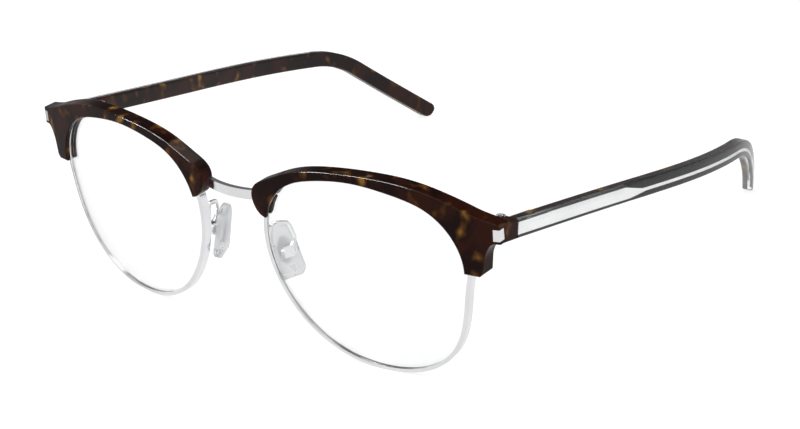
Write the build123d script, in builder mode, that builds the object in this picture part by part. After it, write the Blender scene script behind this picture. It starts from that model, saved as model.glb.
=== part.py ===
from build123d import *
from math import atan2, cos, radians, sin, tan
import os

os.makedirs("parts", exist_ok=True)

# Half rim eyeglasses. Sizes are in millimetres and degrees. The front has its own frame:
# X across, Y to the rear and Z up, with its origin midway between the two lens centres.
# The wearer's left side (+X) is modelled, and its mirror image is the right side.

# ---- the front ----
lens_spacing = 72.0        # between the lens centres
wrap_angle = 7.0           # each lens is turned back this much at its temple side
lens_curve = 111.0         # radius of the front of the rims and lenses
rim_width = 1.0
rim_depth = 1.8
brow_curve = 220.0         # radius of the front of the brow pieces, which are flatter than the lenses
brow_proud = -0.4          # where that front would cross the lens axis, before the lens centre
brow_depth = 4.1
brow_round = 0.8           # rounding of the brow's outer rear edge
brow_edge = 0.35           # and of its front edges
lip = 0.25                 # the brow covers this much of the lens inside the rim
slip = 0.05                # clearance between pieces that are fitted together
lens_thickness = 1.4
bevel_height = 0.4
bevel_thickness = 0.5

# ---- how it stands: on the rims and the temple tips, top of the front leaning forward ----
front_lean = 3.6
front_forward = 69.13
front_height = 26.56

# ---- end blocks, hinges and temples ----
block_side = 4.6           # the end block's outer face, from the hinge axis
block_inner = -1.8
temple_slope = 12.0        # the temples run down to the rear by this angle
hinge_x = 65.4
hinge_y = 14.2
hinge_z = 11.2
seam = 0.1                 # gap between the end block and the open temple
knuckle_radius = 1.25
knuckle_count = 5
knuckle_gap = 0.06
hinge_height = 3.6
screw_radius = 0.6
leaf_thickness = 0.9
temple_height = 4.2
temple_thickness = 3.2
temple_round = 0.5         # rounding of the temple's long edges
temple_reach = 130.0       # along the hinge plane, from the hinge to the tip
bend_start = 100.5         # where the ear bend's two straight runs would meet
bend_drop = 19.0
bend_radius = 26.0
core_thickness = 0.7
core_top = 1.35
core_bottom = -1.4
core_wire = (0.0, -0.75)   # top and bottom of the wire that the blade narrows to

# ---- bridge and nose pads ----
bridge_height = 2.4
bridge_thickness = 1.1
arm_radius = 0.55
pad_centre = (10.9, 5.3, -4.0)
pad_splay = 25.0           # the rear edges of the pads stand further apart
pad_flare = 15.0           # so do their lower ends
pad_length = 13.4
pad_width = 7.4
pad_thickness = 2.2

lens_outline = [
    (26.0, 0.0), (24.6, 9.4), (18.9, 15.6), (9.9, 18.6), (0.0, 19.7), (-10.3, 18.6),
    (-18.7, 15.5), (-24.0, 9.0), (-25.3, 0.0), (-21.9, -11.0), (-14.2, -20.3), (-4.4, -25.0),
    (4.5, -25.8), (13.7, -23.7), (21.0, -17.6), (24.6, -8.0),
]

outline_steps = 32         # points round a grown outline

# ---- planes ----
stand = Plane(
    origin=(0, -front_forward, front_height),
    x_dir=(1, 0, 0),
    z_dir=(0, -sin(radians(front_lean)), cos(radians(front_lean))),
)


def placed(plane):
    """A plane given in the front's own frame, moved to where the front stands."""
    return Plane(stand.location * plane.location)


wrap = radians(wrap_angle)
slope = radians(temple_slope)
upright = placed(Plane(origin=(0, 0, 0), x_dir=(1, 0, 0), z_dir=(0, -1, 0)))
eye = placed(
    Plane(
        origin=(lens_spacing / 2, 0, 0),
        x_dir=(cos(wrap), sin(wrap), 0),
        z_dir=(sin(wrap), -cos(wrap), 0),
    )
)
# The hinge plane: X outward, Y along the temple, Z along the hinge's axis.
hinge = placed(
    Plane(
        origin=(hinge_x, hinge_y, hinge_z),
        x_dir=(1, 0, 0),
        z_dir=(0, sin(slope), cos(slope)),
    )
)
hinge_side = Plane(hinge.location * Plane.YZ.location)
hinge_seam = Plane(hinge.location * Plane.XZ.offset(seam / 2).location)
splay = radians(pad_splay)
flare = radians(pad_flare)
pad_across = Vector(sin(splay), cos(splay), 0)
pad_up = Vector(-sin(flare), 0, cos(flare))
# The pad plane: X from the pad's front edge to its rear edge, Y up it, Z towards the lens.
pad_plane = placed(Plane(origin=pad_centre, x_dir=pad_across, z_dir=pad_across.cross(pad_up)))


def at(plane, x, y, z):
    """A place given in a plane's own X, Y and Z."""
    return plane.location * Location((x, y, z))


def save(builder, label):
    """Name a finished piece and write its file."""
    builder.part.label = label
    export_step(builder.part, f"parts/{label}.step")


def save_pair(left, label):
    """Write the left piece and its mirror image."""
    with BuildPart() as right:
        mirror(left.part, about=Plane.YZ)
    save(left, f"{label}_left")
    save(right, f"{label}_right")


with BuildLine(Plane.XY) as lens_line:
    Spline(*lens_outline, periodic=True)
lens_edge = lens_line.edge()


def lens_shape(grow):
    """The lens outline, grown outward all round."""
    places = [i / outline_steps for i in range(outline_steps)]
    outward = [(lens_edge % t).rotate(Axis.Z, -90) for t in places]
    grown = [lens_edge @ t + n * grow for t, n in zip(places, outward)]
    with BuildSketch(Plane.XY) as shape:
        with BuildLine():
            Spline(*grown, periodic=True)
        make_face()
    return shape.sketch


def shell(grow, curve, proud, depth):
    """A curved sheet in the lens outline's shape, its front at the given curve."""
    outline = lens_shape(grow)
    with BuildPart() as sheet:
        with BuildSketch(eye):
            add(outline)
        extrude(amount=12, both=True)
        with Locations(at(eye, 0, 0, proud - curve)):
            Sphere(curve, rotation=(90, 0, 0), mode=Mode.INTERSECT)
        with Locations(at(eye, 0, 0, proud - curve)):
            Sphere(curve - depth, rotation=(90, 0, 0), mode=Mode.SUBTRACT)
    return sheet.part


# ---- lens: a curved sheet with a tongue round its edge ----
lens_front = -0.2
bevel_front = -0.65
lens_body = shell(-slip, lens_curve, lens_front, lens_thickness)
lens_tongue = shell(bevel_height, lens_curve, bevel_front, bevel_thickness)
groove = shell(bevel_height + slip, lens_curve, bevel_front + slip, bevel_thickness + 2 * slip)

with BuildPart() as lens:
    add(lens_body)
    add(lens_tongue)
save_pair(lens, "lens")

# ---- rim: a closed ring, split at its closing block, with two tabs for the brow ----
lock_width = 3.0
lock_height = 4.6
lock_depth = 2.2
lock_place = (27.6, 6.2, -4.3)
lock_gap = 0.2
lock_screw_radius = 0.45
lock_head_radius = 0.75
lock_head = 0.5
tab_length = 3.4
tab_width = 2.4
tab_thickness = 0.8
tab_depth = 4.76           # the tabs' middle, behind the lens plane
tab_places = [(26.8, 151.0), (27.3, 33.0)]
brow_screw_radius = 0.45
brow_screw_head = 0.8
brow_screw_reach = 2.3
reach = 15.0               # cutting tools pass this far through the front
rim_sheet = shell(rim_width, lens_curve, 0, rim_depth)
rim_hole = lens_shape(0)
rim_outside = lens_shape(rim_width)


def tab_at(radius, angle, depth):
    """A place on a rim tab, by its distance and direction from the lens centre."""
    turn = radians(angle)
    return eye.location * Location((radius * cos(turn), radius * sin(turn), -depth), (0, 0, angle))


with BuildPart() as rim:
    add(rim_sheet)
    with Locations(at(eye, *lock_place)):
        Box(lock_width, lock_height, lock_depth)
    for radius, angle in tab_places:
        with Locations(tab_at(radius, angle, tab_depth)):
            Box(tab_length, tab_width, tab_thickness)
            Cylinder(brow_screw_radius + slip, 2, mode=Mode.SUBTRACT)
    with BuildSketch(eye):
        add(rim_hole)
    extrude(amount=reach, both=True, mode=Mode.SUBTRACT)
    add(groove, mode=Mode.SUBTRACT)
    with Locations(at(eye, *lock_place)):
        Box(lock_width + 4, lock_gap, lock_depth + 4, mode=Mode.SUBTRACT)
    lock_axis = at(eye, *lock_place) * Location((0, 0, 0), (90, 0, 0))
    with Locations(lock_axis):
        Cylinder(lock_screw_radius + slip, lock_height, mode=Mode.SUBTRACT)
    with Locations(lock_axis * Location((0, 0, (lock_height - lock_head) / 2))):
        Cylinder(lock_head_radius + slip, lock_head, mode=Mode.SUBTRACT)
save_pair(rim, "rim")

with BuildPart() as rim_lock_screw:
    with Locations(lock_axis * Location((0, 0, -lock_head / 2))):
        Cylinder(lock_screw_radius, lock_height - lock_head)
    with Locations(lock_axis * Location((0, 0, (lock_height - lock_head) / 2))):
        Cylinder(lock_head_radius, lock_head)
    with Locations(lock_axis * Location((0, 0, lock_height / 2))):
        Box(2 * lock_head_radius, 0.25, 0.3, mode=Mode.SUBTRACT)
save_pair(rim_lock_screw, "rim_lock_screw")

with BuildPart() as brow_screws:
    for radius, angle in tab_places:
        with Locations(tab_at(radius, angle, tab_depth + tab_thickness / 2)):
            Cylinder(brow_screw_radius, brow_screw_reach, align=(Align.CENTER, Align.CENTER, Align.MIN))
            Cylinder(brow_screw_head, 0.45, align=(Align.CENTER, Align.CENTER, Align.MAX))
        with Locations(tab_at(radius, angle, tab_depth + tab_thickness / 2 + 0.45)):
            Box(2 * brow_screw_head, 0.25, 0.4, mode=Mode.SUBTRACT)
save_pair(brow_screws, "brow_screws")

# ---- bridge: a flat strap from rim to rim ----
bridge_place = (0.0, 1.45, 10.6)
bridge_bow = 1.15
bridge_straight = 7.2
bridge_end = 12.0

with BuildPart() as bridge:
    with BuildSketch(placed(Plane(origin=(0, 0, bridge_place[2] - bridge_height / 2)))):
        with BuildLine():
            for face in (-bridge_thickness / 2, bridge_thickness / 2):
                y = bridge_place[1] + face
                Line((-bridge_end, y), (-bridge_straight, y))
                ThreePointArc((-bridge_straight, y), (0, y - bridge_bow), (bridge_straight, y))
                Line((bridge_straight, y), (bridge_end, y))
            for x in (-bridge_end, bridge_end):
                Line((x, bridge_place[1] - bridge_thickness / 2), (x, bridge_place[1] + bridge_thickness / 2))
        make_face()
    extrude(amount=bridge_height)
    with BuildSketch(eye):
        add(rim_outside)
    tool = extrude(amount=reach, both=True, mode=Mode.SUBTRACT)
    mirror(tool, about=Plane.YZ, mode=Mode.SUBTRACT)
save(bridge, "bridge")

# ---- brow: the half rim's upper bar, with its end block ----
rim_channel = shell(rim_width + slip, lens_curve, slip, rim_depth + 2 * slip)
brow_opening = lens_shape(-lip)
recess_depth = 1.7
recess_side = 1.4
leaf_depth = 0.9
tail = (2.0, 2.4, 1.8)     # the hinge leaf's tail, sunk in the end block

with BuildPart() as front_ball:
    with Locations(at(eye, 0, 0, brow_proud - brow_curve)):
        Sphere(brow_curve, rotation=(90, 0, 0))
with BuildPart() as back_ball:
    with Locations(at(eye, 0, 0, brow_proud - brow_curve)):
        Sphere(brow_curve - brow_depth, rotation=(90, 0, 0))

with BuildPart() as end_block:
    with BuildSketch(hinge_seam):
        with BuildLine():
            Polyline(
                (block_inner, -2.05), (block_side, -2.05), (block_side, 2.15),
                (1.0, 2.35), (block_inner, 2.35), close=True,
            )
        make_face()
    extrude(amount=9)
    add(front_ball.part, mode=Mode.INTERSECT)
    long_edges = end_block.edges().filter_by(GeomType.LINE).filter_by(lambda edge: edge.length > 4)
    fillet(long_edges, radius=brow_edge)

with BuildPart() as brow_body:
    with BuildSketch(upright):
        with BuildLine():
            nose = Spline((11.6, 6.7), (9.6, 7.5), (8.1, 9.6), (7.7, 11.8), (8.6, 14.0))
            Spline(
                (8.6, 14.0), (12.0, 16.1), (18.5, 18.9), (29.0, 21.0), (41.0, 21.5),
                (52.0, 20.3), (62.0, 17.1), (70.0, 14.6),
                tangents=(nose % 1, (1, -0.25)),
            )
            Polyline((70.0, 14.6), (70.0, 10.4), (69.2, 10.4))
            Spline((69.2, 10.4), (67.2, 9.0), (66.3, 6.0), tangents=((-1, 0), (-0.05, -1)))
            Polyline(
                (66.3, 6.0), (66.0, 3.2), (65.1, 2.3), (61.0, 2.6),
                (50.0, 3.0), (20.0, 6.8), (11.6, 6.7),
            )
        make_face()
    extrude(amount=2 * reach, both=True)
    with BuildSketch(eye):
        add(brow_opening)
    extrude(amount=2 * reach, both=True, mode=Mode.SUBTRACT)
    add(front_ball.part, mode=Mode.INTERSECT)
    add(back_ball.part, mode=Mode.SUBTRACT)
    back_face = brow_body.faces().filter_by(GeomType.SPHERE).sort_by(Axis.Y)[-1]
    back_edges = back_face.edges().sort_by(Axis.Z)[2:].sort_by(SortBy.LENGTH)
    fillet(back_edges[:-2] + back_edges[-1:], radius=brow_round)
    front_face = brow_body.faces().filter_by(GeomType.SPHERE).sort_by(Axis.Y)[0]
    fillet(front_face.edges(), radius=brow_edge)
    add(end_block.part)

plate_low = 11.15
plate_high = 13.75
with BuildPart() as plate_room:
    for x, y in ((68.6, 8.1), (69.3, 9.3)):
        with Locations(at(stand, x, y, plate_low)):
            Box(4, 6, plate_high - plate_low, align=(Align.MIN, Align.MAX, Align.MIN))

with BuildPart() as corner_plate:
    add(brow_body.part)
    add(plate_room.part, mode=Mode.INTERSECT)
save_pair(corner_plate, "corner_plate")

with BuildPart() as brow:
    add(brow_body.part)
    add(plate_room.part, mode=Mode.SUBTRACT)
    add(rim_channel, mode=Mode.SUBTRACT)
    with Locations(at(eye, lock_place[0], lock_place[1], lock_place[2] + lock_depth / 2 + slip)):
        Box(
            lock_width + 2 * slip, lock_height + 2 * slip, 6,
            align=(Align.CENTER, Align.CENTER, Align.MAX), mode=Mode.SUBTRACT,
        )
    for radius, angle in tab_places:
        with Locations(tab_at(radius, angle, tab_depth - tab_thickness / 2 - slip)):
            Box(
                tab_length + 2 * slip, tab_width + 2 * slip, 4,
                align=(Align.CENTER, Align.CENTER, Align.MAX), mode=Mode.SUBTRACT,
            )
        with Locations(tab_at(radius, angle, tab_depth)):
            Cylinder(
                brow_screw_radius + slip, 2.2,
                align=(Align.CENTER, Align.CENTER, Align.MIN), mode=Mode.SUBTRACT,
            )
    with Locations(at(stand, 0, bridge_place[1], bridge_place[2])):
        Box(
            2 * bridge_end + 4, bridge_thickness + 2 * slip, bridge_height + 2 * slip,
            mode=Mode.SUBTRACT,
        )
    with Locations(at(hinge, recess_side, -recess_depth, 0)):
        Box(6, 6, 9, align=(Align.MAX, Align.MIN, Align.CENTER), mode=Mode.SUBTRACT)
    with Locations(at(hinge, 0, -recess_depth - leaf_depth, 0)):
        Box(tail[0], tail[1], tail[2], align=(Align.CENTER, Align.MAX, Align.CENTER), mode=Mode.SUBTRACT)
    with Locations(at(hinge, 0, -recess_depth, 0)):
        Box(
            2 * knuckle_radius, leaf_depth, hinge_height,
            align=(Align.CENTER, Align.MAX, Align.CENTER), mode=Mode.SUBTRACT,
        )
save_pair(brow, "brow")

# ---- hinge: five knuckles on one screw, three on the front's leaf and two on the temple's ----
knuckle_pitch = (hinge_height + knuckle_gap) / knuckle_count
knuckle_height = knuckle_pitch - knuckle_gap
pin_slip = 0.04
leaf_start = 1.5
leaf_length = 8.0
leaf_inner = 0.55
leaf_outer = 1.9
head_height = 0.4


def knuckle_at(index):
    """The middle of a knuckle, counted from the lowest."""
    return at(hinge, 0, 0, (index - (knuckle_count - 1) / 2) * knuckle_pitch)


with BuildPart() as hinge_front:
    with Locations(at(hinge, 0, -recess_depth, 0)):
        Box(
            2 * knuckle_radius, leaf_depth, hinge_height,
            align=(Align.CENTER, Align.MAX, Align.CENTER),
        )
    with Locations(at(hinge, 0, -recess_depth - leaf_depth, 0)):
        Box(tail[0], tail[1], tail[2], align=(Align.CENTER, Align.MAX, Align.CENTER))
    for index in range(0, knuckle_count, 2):
        with Locations(knuckle_at(index)):
            Cylinder(knuckle_radius, knuckle_height)
            Box(
                knuckle_radius, recess_depth, knuckle_height,
                align=(Align.MAX, Align.MAX, Align.CENTER),
            )
    with Locations(hinge.location):
        Cylinder(screw_radius + pin_slip, hinge_height, mode=Mode.SUBTRACT)
save_pair(hinge_front, "hinge_front")

with BuildPart() as temple_leaf:
    with Locations(at(hinge, leaf_inner, leaf_start, 0)):
        Box(
            leaf_outer - leaf_inner, leaf_length, 3.0,
            align=(Align.MIN, Align.MIN, Align.CENTER),
        )

with BuildPart() as hinge_temple:
    add(temple_leaf.part)
    for index in range(1, knuckle_count, 2):
        with Locations(knuckle_at(index)):
            Cylinder(knuckle_radius, knuckle_height)
            Box(
                knuckle_radius, leaf_start + 0.3, knuckle_height,
                align=(Align.MIN, Align.MIN, Align.CENTER),
            )
    with Locations(hinge.location):
        Cylinder(screw_radius + pin_slip, hinge_height, mode=Mode.SUBTRACT)
save_pair(hinge_temple, "hinge_temple")

with BuildPart() as hinge_screw:
    with Locations(hinge.location):
        Cylinder(screw_radius, hinge_height)
    with Locations(at(hinge, 0, 0, hinge_height / 2)):
        Cylinder(1.0, head_height, align=(Align.CENTER, Align.CENTER, Align.MIN))
    with Locations(at(hinge, 0, 0, hinge_height / 2 + head_height)):
        Box(2.4, 0.3, 0.4, mode=Mode.SUBTRACT)
save_pair(hinge_screw, "hinge_screw")

# ---- temple: a havana inner layer, a clear outer layer and a metal core between them ----
bend = atan2(bend_drop, temple_reach - bend_start)
temple_bow = [(3.0, 0.0), (4.5, 40.0), (5.5, 70.0), (2.9, 94.0), (-3.2, 113.0), (-13.5, 134.5)]


def side_run(height, start, end):
    """A line along the temple at a height above its middle, through the ear bend."""
    return [
        (start, height),
        (bend_start + height * tan(bend / 2), height),
        (end + height * sin(bend), (bend_start - end) * tan(bend) + height * cos(bend)),
    ]


def temple_band(inner, outer):
    """The plan of a temple layer, between two distances outside the temple's middle."""
    with BuildSketch(Plane.XY) as band:
        with BuildLine():
            inside = Spline(*[(x + inner, y) for x, y in temple_bow], tangents=((0.03, 1), (-0.45, 1)))
            outside = Spline(*[(x + outer, y) for x, y in temple_bow], tangents=((0.03, 1), (-0.45, 1)))
            Line(inside @ 0, outside @ 0)
            Line(inside @ 1, outside @ 1)
        make_face()
    return band.sketch


half_height = temple_height / 2
top_run = side_run(half_height, seam / 2, temple_reach)
low_run = side_run(-half_height, seam / 2, temple_reach)
with BuildSketch(Plane.XY) as temple_side:
    with BuildLine():
        FilletPolyline(*top_run, radius=bend_radius + half_height)
        FilletPolyline(*low_run, radius=bend_radius - half_height)
        Line(top_run[0], low_run[0])
        Line(top_run[-1], low_run[-1])
    make_face()
    fillet(temple_side.vertices().sort_by(Axis.X)[-2:], radius=1.8)

core_start = 0.6
core_end = 122.0
core_high = [(core_start, core_top), (40.0, core_top)] + side_run(core_wire[0], 46.5, core_end)
core_low = [(core_start, core_bottom), (42.0, core_bottom)] + side_run(core_wire[1], 48.0, core_end)
with BuildSketch(Plane.XY) as core_side:
    with BuildLine():
        FilletPolyline(*core_high, radius=[3, 3, bend_radius])
        FilletPolyline(*core_low, radius=[3, 3, bend_radius - 1])
        Line(core_high[0], core_low[0])
        Line(core_high[-1], core_low[-1])
    make_face()


def temple_layer(inner, outer, side):
    """A layer of the temple, cut to its plan and its side outline."""
    band = temple_band(inner, outer)
    with BuildPart() as layer:
        with BuildSketch(hinge):
            add(band)
        extrude(amount=30, both=True)
        with BuildSketch(hinge_side):
            add(side)
        extrude(amount=30, both=True, mode=Mode.INTERSECT)
    return layer.part


def rim_edges(builder, end):
    """The edges round a layer's inner (0) or outer (-1) face, without the one at the hinge."""
    wide = builder.faces().filter_by(lambda face: face.area > 300).sort_by(Axis.X)[end]
    return wide.edges().sort_by(Axis.Y)[1:]


half_thickness = temple_thickness / 2
inner_layer = temple_layer(-half_thickness, 0, temple_side.sketch)
outer_layer = temple_layer(0, half_thickness, temple_side.sketch)
core_layer = temple_layer(0, core_thickness, core_side.sketch)

with BuildPart() as temple_inner:
    add(inner_layer)
    fillet(rim_edges(temple_inner, 0), radius=temple_round)
    add(temple_leaf.part, mode=Mode.SUBTRACT)
save_pair(temple_inner, "temple_inner")

with BuildPart() as temple_outer:
    add(outer_layer)
    fillet(rim_edges(temple_outer, -1), radius=temple_round)
    add(core_layer, mode=Mode.SUBTRACT)
save_pair(temple_outer, "temple_outer")

with BuildPart() as temple_core:
    add(core_layer)
save_pair(temple_core, "temple_core")

# ---- nose pads: a soft pad on a metal insert that rocks on a screw in the arm's box ----
pad_screw_radius = 0.35
pad_pivot = 0.9            # the screw's height above the pad's back
tongue_width = 0.9
tongue_height = 1.8
tongue_top = 1.35
box_width = 2.3
box_height = 2.6
box_bottom = 0.35
box_top = 2.15
box_slot = 1.1
box_slot_top = 1.6

with BuildPart() as pad_insert:
    with BuildSketch(pad_plane.offset(-1.4)):
        Ellipse(1.7, 3.2)
    extrude(amount=0.5)
    with Locations(at(pad_plane, 0, 0, -0.9)):
        Box(
            tongue_width, tongue_height, tongue_top + 0.9,
            align=(Align.CENTER, Align.CENTER, Align.MIN),
        )
    pad_pin = at(pad_plane, 0, 0, pad_pivot) * Location((0, 0, 0), (0, 90, 0))
    with Locations(pad_pin):
        Cylinder(pad_screw_radius + pin_slip, 2, mode=Mode.SUBTRACT)
save_pair(pad_insert, "pad_insert")

with BuildPart() as nose_pad:
    with BuildSketch(pad_plane) as pad_outline:
        with BuildLine():
            Polyline(
                (-2.9, 5.2), (-1.2, 6.8), (1.3, 6.6), (2.6, 4.8), (4.0, -5.2), (2.9, -6.6),
                (-2.0, -6.8), (-3.2, -5.4), close=True,
            )
        make_face()
        fillet(pad_outline.vertices(), radius=1.2)
    extrude(amount=-pad_thickness)
    pad_faces = nose_pad.faces().filter_by(GeomType.PLANE)
    pad_axis = Axis(pad_plane.origin, pad_plane.z_dir)
    fillet(pad_faces.sort_by(pad_axis)[0].edges(), radius=0.9)
    pad_faces = nose_pad.faces().filter_by(GeomType.PLANE)
    fillet(pad_faces.sort_by(pad_axis)[-1].edges(), radius=0.5)
    add(pad_insert.part, mode=Mode.SUBTRACT)
save_pair(nose_pad, "nose_pad")

with BuildPart() as pad_box:
    with Locations(at(pad_plane, 0, 0, box_bottom)):
        Box(box_width, box_height, box_top - box_bottom, align=(Align.CENTER, Align.CENTER, Align.MIN))
        Box(
            box_slot, box_height, box_slot_top - box_bottom,
            align=(Align.CENTER, Align.CENTER, Align.MIN), mode=Mode.SUBTRACT,
        )
    with Locations(pad_pin):
        Cylinder(pad_screw_radius + pin_slip, 4, mode=Mode.SUBTRACT)
save_pair(pad_box, "pad_box")

with BuildPart() as pad_screw:
    with Locations(pad_pin):
        Cylinder(pad_screw_radius, box_width)
    with Locations(pad_pin * Location((0, 0, -box_width / 2))):
        Cylinder(0.6, 0.4, align=(Align.CENTER, Align.CENTER, Align.MAX))
    with Locations(pad_pin * Location((0, 0, -box_width / 2 - 0.4))):
        Box(0.2, 1.4, 0.3, mode=Mode.SUBTRACT)
save_pair(pad_screw, "pad_screw")

arm_end = Vector(*pad_centre) + pad_across.cross(pad_up) * (box_top - 0.3)
arm_route = [(9.75, 1.55, 0.4), (10.2, 2.6, 3.8), (11.6, 6.3, 2.6), (12.5, 7.0, -1.4), arm_end]
with BuildPart() as pad_arm:
    with BuildLine() as arm_line:
        FilletPolyline(*[at(stand, *point).position for point in arm_route], radius=[1.2, 1.2, 1.6])
    with BuildSketch(Plane(arm_line.line @ 0, z_dir=arm_line.line % 0)):
        Circle(arm_radius)
    sweep(path=arm_line.line)
    add(rim.part, mode=Mode.SUBTRACT)
    with Locations(at(pad_plane, 0, 0, box_bottom - 1)):
        Box(
            box_width, box_height, box_top - box_bottom + 1,
            align=(Align.CENTER, Align.CENTER, Align.MIN), mode=Mode.SUBTRACT,
        )
    add(pad_arm.solids().sort_by(SortBy.VOLUME)[-1], mode=Mode.REPLACE)
save_pair(pad_arm, "pad_arm")
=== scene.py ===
"""Half rim eyeglasses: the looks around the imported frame."""
import math

import bmesh
import bpy
from mathutils import Matrix, Vector
from mathutils.bvhtree import BVHTree


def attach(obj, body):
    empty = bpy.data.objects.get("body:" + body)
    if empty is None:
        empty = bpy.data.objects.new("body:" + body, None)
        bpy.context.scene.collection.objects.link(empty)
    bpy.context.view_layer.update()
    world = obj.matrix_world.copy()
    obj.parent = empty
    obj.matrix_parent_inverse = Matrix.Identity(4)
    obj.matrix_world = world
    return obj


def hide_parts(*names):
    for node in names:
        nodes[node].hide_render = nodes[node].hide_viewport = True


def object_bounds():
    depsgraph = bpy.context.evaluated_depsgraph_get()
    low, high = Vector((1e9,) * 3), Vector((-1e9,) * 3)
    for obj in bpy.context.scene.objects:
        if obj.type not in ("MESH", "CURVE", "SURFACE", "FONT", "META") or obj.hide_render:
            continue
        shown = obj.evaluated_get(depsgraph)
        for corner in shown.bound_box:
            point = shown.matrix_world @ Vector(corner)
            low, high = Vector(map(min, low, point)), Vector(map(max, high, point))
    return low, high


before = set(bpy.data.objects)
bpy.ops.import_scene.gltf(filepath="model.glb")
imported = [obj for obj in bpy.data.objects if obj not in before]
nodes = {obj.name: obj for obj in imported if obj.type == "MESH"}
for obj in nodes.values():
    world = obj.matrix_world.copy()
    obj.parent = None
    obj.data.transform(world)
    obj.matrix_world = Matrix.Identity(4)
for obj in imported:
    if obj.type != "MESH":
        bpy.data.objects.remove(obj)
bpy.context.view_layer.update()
scene = bpy.context.scene
scene.view_settings.view_transform = "Standard"


# ---------------------------------------------------------------- shader help
MIX_FACTOR, MIX_A, MIX_B = 0, 6, 7   # the Mix node's sockets for a colour mix


class Shader:
    """A material's node tree, with short ways to add nodes to it."""

    def __init__(self, name):
        self.material = bpy.data.materials.new(name)
        self.material.use_nodes = True
        self.tree = self.material.node_tree
        self.tree.nodes.clear()
        self.output = self.add("ShaderNodeOutputMaterial")
        self.bsdf = self.add("ShaderNodeBsdfPrincipled")
        self.link(self.bsdf, "BSDF", self.output, "Surface")
        self.place = self.add("ShaderNodeTexCoord")

    def add(self, kind, **values):
        node = self.tree.nodes.new(kind)
        for key, value in values.items():
            setattr(node, key, value)
        return node

    def link(self, source, out, target, into):
        self.tree.links.new(source.outputs[out], target.inputs[into])

    def set(self, **values):
        for key, value in values.items():
            self.bsdf.inputs[key.replace("_", " ")].default_value = value

    def mapped(self, scale=(1, 1, 1), turn=(0, 0, 0), shift=(0, 0, 0)):
        """The object's own coordinates in metres, scaled, turned and shifted."""
        node = self.add("ShaderNodeMapping")
        node.inputs["Scale"].default_value = scale
        node.inputs["Rotation"].default_value = turn
        node.inputs["Location"].default_value = shift
        self.link(self.place, "Object", node, "Vector")
        return node

    def noise(self, vector, scale, detail=3.0, rough=0.5, distortion=0.0):
        node = self.add("ShaderNodeTexNoise")
        node.inputs["Scale"].default_value = scale
        node.inputs["Detail"].default_value = detail
        node.inputs["Roughness"].default_value = rough
        node.inputs["Distortion"].default_value = distortion
        self.link(vector, "Vector", node, "Vector")
        return node

    def ramp(self, source, out, stops, into=None, smooth=False):
        """A colour ramp over a 0 to 1 value; a stop is (place, colour or grey)."""
        node = self.add("ShaderNodeValToRGB")
        node.color_ramp.interpolation = "EASE" if smooth else "LINEAR"
        elements = node.color_ramp.elements
        while len(elements) < len(stops):
            elements.new(0.5)
        for element, (place, colour) in zip(elements, stops):
            element.position = place
            if isinstance(colour, (int, float)):
                colour = (colour, colour, colour)
            element.color = (*colour, 1.0)
        self.link(source, out, node, "Fac")
        if into:
            self.link(node, "Color", self.bsdf, into)
        return node

    def mix(self, factor, a, b):
        """a and b are (node, output) pairs or colours; factor is a (node, output) pair."""
        node = self.add("ShaderNodeMix", data_type="RGBA")
        self.link(*factor, node, MIX_FACTOR)
        for value, index in ((a, MIX_A), (b, MIX_B)):
            if isinstance(value[0], bpy.types.Node):
                self.link(*value, node, index)
            else:
                node.inputs[index].default_value = (*value, 1.0)
        return node

    def bump(self, source, out, strength, distance):
        node = self.add("ShaderNodeBump")
        node.inputs["Strength"].default_value = strength
        node.inputs["Distance"].default_value = distance
        self.link(source, out, node, "Height")
        self.link(node, "Normal", self.bsdf, "Normal")


# ------------------------------------------------------------------ materials
ACETATE_IOR = 1.49
NEAR_BLACK = (0.0058, 0.0013, 0.0007)
RED_BROWN = (0.0175, 0.0036, 0.0014)
AMBER = (0.050, 0.019, 0.0030)
GOLD = (0.165, 0.084, 0.015)
BONDED_BLACK = (0.0016, 0.0014, 0.0013)
CLOUD_SCALE, CLOUD_EDGE = 150, (0.44, 0.64)
PATCH_SCALE, PATCH_EDGE, HEART_EDGE = 300, (0.55, 0.70), (0.65, 0.76)
TURNS_OUTWARD = (0.55, 0.75)         # how far a face looks away from the head before it is black
ACETATE_ROUGHNESS = (0.07, 0.11)
NOISE_MIDDLE = (0.3, 0.7)            # the part of a noise's range that it mostly fills
TONE_MIDDLE = (0.35, 0.65)           # a narrower part of it, for colours
METAL_DARKER = 0.94                  # a metal's darker tone beside its own colour


def between(edge, start=0.0, end=1.0):
    """The two stops of a ramp that goes from one value to another across an edge."""
    return [(edge[0], start), (edge[1], end)]


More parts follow.
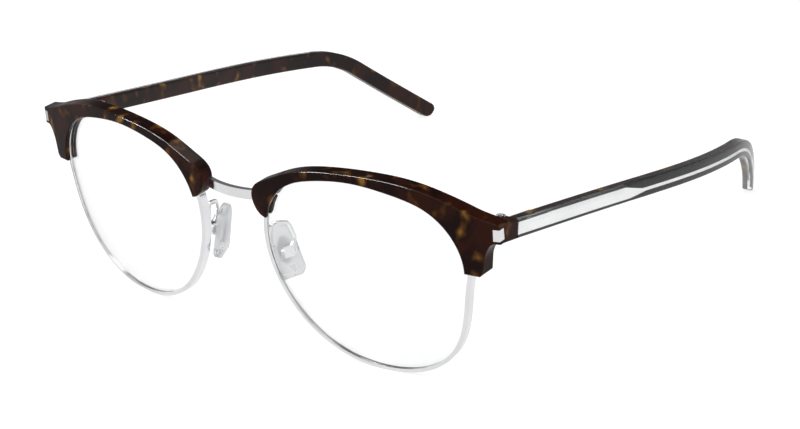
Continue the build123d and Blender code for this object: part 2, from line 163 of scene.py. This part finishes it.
def tortoise(name, seed, gloss, black_outside=False):
    """Polished dark tortoiseshell: near-black brown with red-brown clouds and amber patches."""
    s = Shader(name)
    s.set(IOR=ACETATE_IOR, Specular_IOR_Level=gloss)
    # Red-brown clouds in the near-black.
    where = s.mapped((1.0, 1.0, 0.8), (0.3, 0.2, 0.4), (seed, 0.3, 0.1))
    clouds = s.noise(where, CLOUD_SCALE, distortion=0.4)
    cloud = s.ramp(clouds, "Fac", between(CLOUD_EDGE), smooth=True)
    base = s.mix((cloud, "Color"), NEAR_BLACK, RED_BROWN)
    # Amber patches, stretched upright, with soft edges and a paler heart.
    where = s.mapped((1.0, 1.0, 0.75), (0.1, -0.25, 0.2), (0.2, seed, 0.4))
    patches = s.noise(where, PATCH_SCALE, 1.5, 0.4, 0.1)
    patch = s.ramp(patches, "Fac", between(PATCH_EDGE), smooth=True)
    warm = s.mix((patch, "Color"), (base, "Result"), AMBER)
    heart = s.ramp(patches, "Fac", between(HEART_EDGE), smooth=True)
    shade = s.mix((heart, "Color"), (warm, "Result"), GOLD)
    if black_outside:
        # The face bonded to the clear layer is black: it is the one that looks away from the head.
        spot = s.add("ShaderNodeSeparateXYZ")
        s.link(s.place, "Object", spot, "Vector")
        facing = s.add("ShaderNodeSeparateXYZ")
        s.link(s.place, "Normal", facing, "Vector")
        side = s.add("ShaderNodeMath", operation="SIGN")
        s.link(spot, "X", side, 0)
        outward = s.add("ShaderNodeMath", operation="MULTIPLY")
        s.link(side, "Value", outward, 0)
        s.link(facing, "X", outward, 1)
        black = s.ramp(outward, "Value", between(TURNS_OUTWARD))
        shade = s.mix((black, "Color"), (shade, "Result"), BONDED_BLACK)
        s.ramp(outward, "Value", between(TURNS_OUTWARD, gloss, 0.0), into="Specular IOR Level")
    s.link(shade, "Result", s.bsdf, "Base Color")
    # Polishing leaves the gloss and the surface a little uneven.
    haze = s.noise(s.mapped(), 900, rough=0.6)
    s.ramp(haze, "Fac", between(NOISE_MIDDLE, *ACETATE_ROUGHNESS), into="Roughness")
    wave = s.noise(s.mapped(), 260, 2.0)
    s.bump(wave, "Fac", strength=0.2, distance=0.00004)
    return s.material


def metal(name, colour, low, high, grain=(1, 1, 1), scale=1500, bump=0.02):
    """A metal whose roughness runs between low and high in a fine grain."""
    s = Shader(name)
    s.set(Metallic=1.0)
    fine = s.noise(s.mapped(grain), scale, 4.0, 0.6)
    s.ramp(fine, "Fac", between(NOISE_MIDDLE, low, high), into="Roughness")
    tone = s.noise(s.mapped(), 120)
    darker = tuple(c * METAL_DARKER for c in colour)
    s.ramp(tone, "Fac", between(TONE_MIDDLE, darker, colour), into="Base Color")
    if bump:
        s.bump(fine, "Fac", strength=bump, distance=0.00002)
    return s.material


def clear(name, tint, rough, ior=ACETATE_IOR, haze=0.0, through=1.0, gloss=0.5):
    """Clear acetate, lens plastic or silicone, with faint clouding."""
    s = Shader(name)
    s.set(IOR=ior, Transmission_Weight=through, Specular_IOR_Level=gloss)
    cloud = s.noise(s.mapped(), 300)
    darker = tuple(c * (1 - haze) for c in tint)
    s.ramp(cloud, "Fac", between(TONE_MIDDLE, darker, tint), into="Base Color")
    if rough:
        s.ramp(cloud, "Fac", between(NOISE_MIDDLE, rough, rough * 1.3), into="Roughness")
    else:
        s.set(Roughness=0.0)
    return s.material


brow_acetate = tortoise("brow_tortoise", seed=0.0, gloss=0.09)
temple_acetate = tortoise("temple_tortoise", seed=3.1, gloss=0.3, black_outside=True)
clear_acetate = clear("clear_acetate", (0.96, 0.965, 0.97), rough=0.0, haze=0.004, gloss=0.33)
lens_plastic = clear("lens_plastic", (0.905, 0.908, 0.912), rough=0.0, ior=1.5, haze=0.003)
silicone = clear("pad_silicone", (0.76, 0.77, 0.78), rough=0.26, ior=1.41, haze=0.04, through=0.7)
plating = metal("silver_plating", (0.93, 0.93, 0.935), 0.10, 0.17)
plate = metal("plate_silver", (0.91, 0.90, 0.895), 0.14, 0.22, grain=(1, 1, 6), scale=900)
core = metal(
    "core_nickel_silver", (0.96, 0.96, 0.96), 0.24, 0.27, grain=(3, 0.1, 3), scale=200, bump=0.0,
)
fitting = metal("fitting_steel", (0.74, 0.74, 0.75), 0.22, 0.34, grain=(1, 6, 1))
screw_metal = metal("screw_steel", (0.72, 0.72, 0.73), 0.18, 0.3, grain=(1, 1, 8))

FINISH = {
    "brow": brow_acetate, "temple_inner": temple_acetate, "temple_outer": clear_acetate,
    "temple_core": core, "lens": lens_plastic, "rim": plating, "bridge": plating,
    "pad_arm": plating, "pad_box": plating, "nose_pad": silicone, "pad_insert": fitting,
    "corner_plate": plate, "hinge_front": fitting, "hinge_temple": fitting,
    "hinge_screw": screw_metal, "pad_screw": screw_metal, "rim_lock_screw": screw_metal,
    "brow_screws": screw_metal,
}


def finish_of(name):
    return FINISH[name.removesuffix("_left").removesuffix("_right")]


for name, obj in nodes.items():
    if not obj.material_slots:
        obj.data.materials.append(None)
    for place in obj.material_slots:
        place.material = finish_of(name)

# -------------------------------------------------- clear pieces bonded to others
BOND = 0.00006          # a clear piece reaches this far into what it is bonded to
TOUCHING = 0.00003      # nearer than this, two faces are the same face, allowing for their facets
LENS_BOND = 0.00008     # the same two for the lens in its groove, whose facets are coarser
LENS_TOUCHING = 0.00006
SAME_POINT = 0.000001   # vertices nearer than this are joined
SEARCH = 0.0005         # how far from a face another piece is looked for
FACES_MATCH = 0.9       # least cosine between two faces that touch flat on
ONE_SIDE = 0.8          # least cosine between two faces of one side
SHARP = math.radians(30)


def bonded(name, others, body, reach=BOND, touching=TOUCHING):
    """A copy of a clear node whose bonded faces reach just inside the pieces behind them.

    Light then passes from the clear piece straight to those pieces, with no air gap between.
    """
    mesh = nodes[name].data.copy()
    mesh.name = name + "_clear"
    bm = bmesh.new()
    bm.from_mesh(mesh)
    bmesh.ops.remove_doubles(bm, verts=bm.verts, dist=SAME_POINT)
    bmesh.ops.recalc_face_normals(bm, faces=bm.faces)
    trees = []
    for other in others:
        source = nodes[other].data
        trees.append(
            BVHTree.FromPolygons(
                [v.co for v in source.vertices], [tuple(f.vertices) for f in source.polygons]
            )
        )

    def touches(point, normal):
        for tree in trees:
            _, facing, _, gap = tree.find_nearest(point, SEARCH)
            if facing is not None and gap < touching and abs(facing.dot(normal)) > FACES_MATCH:
                return True
        return False

    push = {}
    for face in bm.faces:
        if touches(face.calc_center_median(), face.normal):
            for vert in face.verts:
                push.setdefault(vert, []).append(face.normal.copy())
    for vert, normals in push.items():
        way = Vector((0, 0, 0))
        sides = []
        for normal in normals:
            if all(normal.dot(side_normal) < ONE_SIDE for side_normal in sides):
                sides.append(normal)
                way += normal
        vert.co += way * reach
    for edge in bm.edges:
        edge.smooth = len(edge.link_faces) == 2 and edge.calc_face_angle() < SHARP
    for face in bm.faces:
        face.smooth = True
    bm.to_mesh(mesh)
    bm.free()
    piece = bpy.data.objects.new(name + "_clear", mesh)
    scene.collection.objects.link(piece)
    for i in range(len(mesh.materials)):
        mesh.materials[i] = finish_of(name)
    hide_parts(name)
    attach(piece, body)


for side in ("left", "right"):
    bonded(
        f"temple_outer_{side}", [f"temple_inner_{side}", f"temple_core_{side}"],
        f"temple_{side}",
    )
    bonded(f"nose_pad_{side}", [f"pad_insert_{side}"], f"nose_pad_{side}")
    bonded(
        f"lens_{side}", [f"rim_{side}"], "front",
        reach=LENS_BOND, touching=LENS_TOUCHING,
    )

# ----------------------------------------------------------------- the studio
low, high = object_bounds()
middle = (low + high) / 2
FLOOR_HALF = 6.0
FLOOR_GLOW = 0.78
FLOOR_GREYS = (0.19, 0.20)


def floor_material():
    s = Shader("studio_floor")
    s.set(Roughness=0.6, Emission_Color=(1.0, 1.0, 1.0, 1.0), Emission_Strength=FLOOR_GLOW)
    grain = s.noise(s.mapped(), 40, 2.0)
    s.ramp(grain, "Fac", between(NOISE_MIDDLE, *FLOOR_GREYS), into="Base Color")
    return s.material


floor_mesh = bpy.data.meshes.new("floor")
corners = [(-1, -1), (1, -1), (1, 1), (-1, 1)]
floor_mesh.from_pydata(
    [(x * FLOOR_HALF, y * FLOOR_HALF, low.z) for x, y in corners], [], [(0, 1, 2, 3)]
)
floor = bpy.data.objects.new("floor", floor_mesh)
floor_mesh.materials.append(floor_material())
scene.collection.objects.link(floor)

# The floor isn't mirrored in the glossy pieces: they mirror the studio world instead.
floor.visible_glossy = False


# Each flag is dark cloth in what the glossy pieces mirror: the direction it stands in, its inner
# and outer radius in degrees, and the share of the light that it takes away.
FLAGS = [
    ((-0.45, 0.68, 0.60), 20, 36, 0.85),     # behind, above: keeps the tops of the brow pieces deep
    ((-0.75, 0.65, -0.05), 15, 30, 0.75),    # behind: the same for their ends at the nose
    ((-0.59, -0.64, -0.475), 15, 50, 0.08),  # low in front: takes a little light off their fronts
    ((0.37, 0.70, 0.57), 8, 16, 0.6),        # high behind: dark lines in the rims' inner walls
    ((0.9, -0.3, 0.1), 10, 25, 0.4),         # beside, on the wearer's left: contrast in the metal
    ((-0.9, 0.1, -0.3), 10, 30, 0.4),        # beside, on the wearer's right: the same
]
STUDIO_GREY = (0.86, 0.86, 0.87, 1.0)        # what they mirror away from the flags


def studio_world():
    """White all round, but glossy pieces mirror a bright studio with dark flags."""
    world = bpy.data.worlds.new("studio")
    scene.world = world
    world.use_nodes = True
    tree = world.node_tree
    tree.nodes.clear()

    def add(kind, **values):
        node = tree.nodes.new(kind)
        for key, value in values.items():
            setattr(node, key, value)
        return node

    def link(source, out, target, into):
        tree.links.new(source.outputs[out], target.inputs[into])

    output = add("ShaderNodeOutputWorld")
    mix = add("ShaderNodeMixShader")
    plain = add("ShaderNodeBackground")
    mirrored = add("ShaderNodeBackground")
    path = add("ShaderNodeLightPath")
    place = add("ShaderNodeTexCoord")
    plain.inputs["Color"].default_value = (1.0, 1.0, 1.0, 1.0)
    plain.inputs["Strength"].default_value = 1.0
    bounced = add("ShaderNodeMath", operation="MINIMUM")
    link(path, "Glossy Depth", bounced, 0)
    bounced.inputs[1].default_value = 1.0
    link(bounced, "Value", mix, 0)
    link(plain, "Background", mix, 1)
    link(mirrored, "Background", mix, 2)
    link(mix, "Shader", output, "Surface")
    level = None
    for toward, inner, outer, take in FLAGS:
        dot = add("ShaderNodeVectorMath", operation="DOT_PRODUCT")
        link(place, "Generated", dot, 0)
        dot.inputs[1].default_value = Vector(toward).normalized()
        shade = add("ShaderNodeMapRange", interpolation_type="SMOOTHSTEP")
        link(dot, "Value", shade, "Value")
        shade.inputs["From Min"].default_value = math.cos(math.radians(outer))
        shade.inputs["From Max"].default_value = math.cos(math.radians(inner))
        shade.inputs["To Min"].default_value = 1.0
        shade.inputs["To Max"].default_value = 1.0 - take
        if level is None:
            level = (shade, "Result")
        else:
            both = add("ShaderNodeMath", operation="MULTIPLY")
            link(*level, both, 0)
            link(shade, "Result", both, 1)
            level = (both, "Value")
    link(*level, mirrored, "Strength")
    mirrored.inputs["Color"].default_value = STUDIO_GREY


studio_world()


def area(name, place, target, size, power):
    """A soft rectangular light at a place, facing a target."""
    light = bpy.data.lights.new(name, "AREA")
    light.shape = "RECTANGLE"
    light.size, light.size_y = size
    light.energy = power
    obj = bpy.data.objects.new(name, light)
    obj.location = place
    obj.rotation_euler = (Vector(target) - Vector(place)).to_track_quat("-Z", "Y").to_euler()
    scene.collection.objects.link(obj)
    return obj


# Places and sizes in metres, powers in watts.
EDGE_PLACES = [(-0.64, -0.32, 0.68), (-0.44, -0.47, 0.77), (-0.22, -0.57, 0.80)]
EDGE_SIZE, EDGE_POWER = (0.22, 0.22), 26.0
SOFT_POWER = 3.0

area("key", (0.5, -0.5, 0.9), middle, (0.6, 0.4), SOFT_POWER)
# Small bright lights high in front: they only draw the thin highlight on the rounded front edges.
for number, place in enumerate(EDGE_PLACES):
    edge_light = area(f"edge_{number}", place, middle, EDGE_SIZE, EDGE_POWER)
    edge_light.visible_diffuse = False
    edge_light.visible_transmission = False
area("top", (-0.2, 0.1, 0.9), middle, (0.9, 0.5), SOFT_POWER)

# ----------------------------------------------------------------- the camera
CAMERA_PLACE = (0.2875, -0.3513, 0.2011)
CAMERA_RIGHT = (0.7778, 0.6264, -0.0533)   # the direction that the picture's right edge is in
CAMERA_BACK = (0.5925, -0.7021, 0.3952)    # from the glasses towards the camera
FOCAL_LENGTH, SENSOR_WIDTH = 86.4, 36.0    # in millimetres

camera = bpy.data.objects.new("camera", bpy.data.cameras.new("camera"))
camera.data.lens = FOCAL_LENGTH
camera.data.sensor_width = SENSOR_WIDTH
camera.data.clip_start = 0.01
right = Vector(CAMERA_RIGHT).normalized()
back = Vector(CAMERA_BACK).normalized()
up = back.cross(right).normalized()
back = right.cross(up)
camera.matrix_world = Matrix(
    [(right[i], up[i], back[i], CAMERA_PLACE[i]) for i in range(3)] + [(0, 0, 0, 1)]
)
scene.collection.objects.link(camera)
scene.camera = camera
